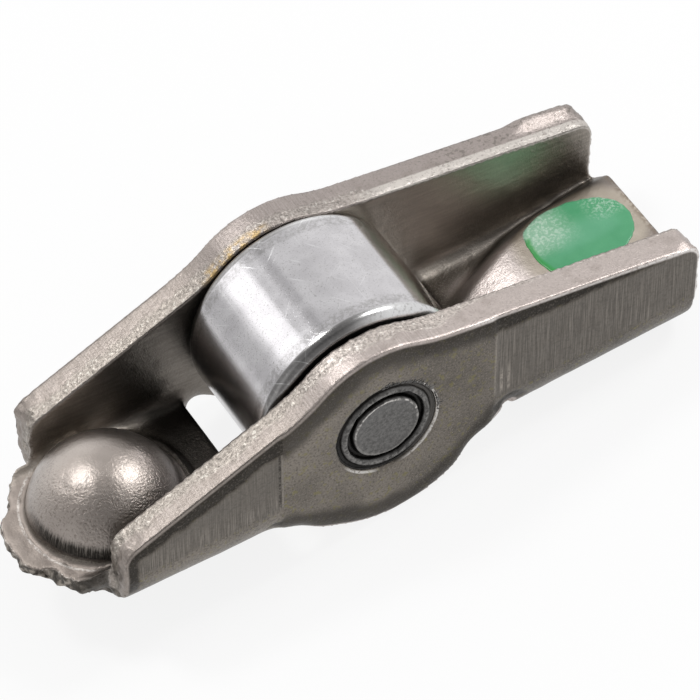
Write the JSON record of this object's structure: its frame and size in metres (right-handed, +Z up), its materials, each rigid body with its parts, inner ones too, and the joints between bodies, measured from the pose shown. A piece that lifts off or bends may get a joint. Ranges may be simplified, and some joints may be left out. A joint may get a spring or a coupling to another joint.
{
  "type": "roller finger rocker arm",
  "caption": "Stamped steel rocker arm with a ball socket dome, a roller on needle bearings between two cheeks, and a crowned pad for a valve stem.",
  "frame": {"origin": "centre of the pivot ball, in the socket under the dome", "axes": "+X towards the valve end, +Y along the roller pin, +Z up as the arm rests on its two bellies and its heel"},
  "size_m": [0.0545, 0.0178, 0.0179],
  "materials": {
    "pressed_steel": "satin grey pressed steel",
    "pin_steel": "dark staked steel",
    "roller_steel": "ground and polished steel",
    "needle_steel": "ground bearing steel",
    "green_paint": "semi-gloss marking paint"
  },
  "bodies": {
    "arm": {"rocker_arm": "pressed_steel", "roller_pin": "pin_steel", "paint_mark": "green_paint"},
    "roller": {"roller": "roller_steel"},
    "needle_set": {"needle_01": "needle_steel", "needle_02": "needle_steel", "needle_03": "needle_steel", "needle_04": "needle_steel", "needle_05": "needle_steel", "needle_06": "needle_steel", "needle_07": "needle_steel", "needle_08": "needle_steel", "needle_09": "needle_steel", "needle_10": "needle_steel", "needle_11": "needle_steel", "needle_12": "needle_steel", "needle_13": "needle_steel", "needle_14": "needle_steel", "needle_15": "needle_steel", "needle_16": "needle_steel", "needle_17": "needle_steel", "needle_18": "needle_steel", "needle_19": "needle_steel"}
  },
  "joints": [
    {"name": "roller_spin", "type": "hinge", "parent": "arm", "child": "roller", "pos_m": [0.01955, 0, 0.00345], "axis": [0, 1, 0], "continuous": true},
    {"name": "needle_orbit", "type": "hinge", "parent": "arm", "child": "needle_set", "pos_m": [0.01955, 0, 0.00345], "axis": [0, 1, 0], "continuous": true}
  ],
  "couplings": [
    {"joint": "needle_orbit", "follows": "roller_spin", "ratio": 0.583}
  ]
}
